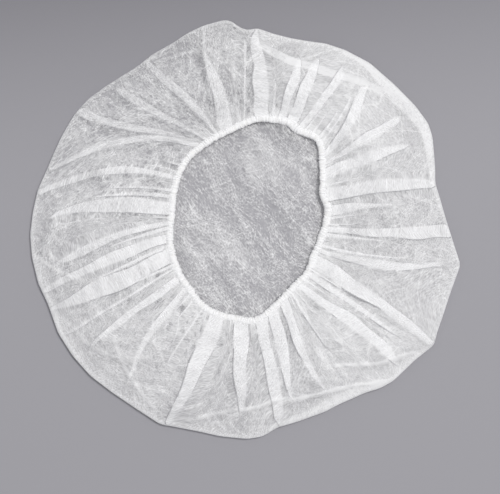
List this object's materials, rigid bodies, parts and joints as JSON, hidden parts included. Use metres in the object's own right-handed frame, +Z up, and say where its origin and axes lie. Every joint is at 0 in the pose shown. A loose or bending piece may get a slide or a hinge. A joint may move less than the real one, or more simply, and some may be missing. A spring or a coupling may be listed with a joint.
{
  "type": "disposable hair cover cap",
  "caption": "Hair cover lying flat: a round non-woven crown that folds back into a pleated side, gathered by an elastic hem round the head opening.",
  "frame": {"origin": "on the surface that the cap lies on, under the middle of its outline", "axes": "+Z up, out of the head opening; +X to the right and +Y to the top as the picture shows the cap"},
  "size_m": [0.3362, 0.3278, 0.0248],
  "materials": {
    "cap_cloth": "thin white spun-bonded polypropylene, matt and slightly see-through",
    "hem_cloth": "the same non-woven, rolled and tightly gathered, nearly opaque",
    "elastic": "plain off-white elastic"
  },
  "bodies": {
    "root": {"cap_shell": "cap_cloth", "hem_casing": "hem_cloth", "elastic_band": "elastic"}
  },
  "joints": []
}
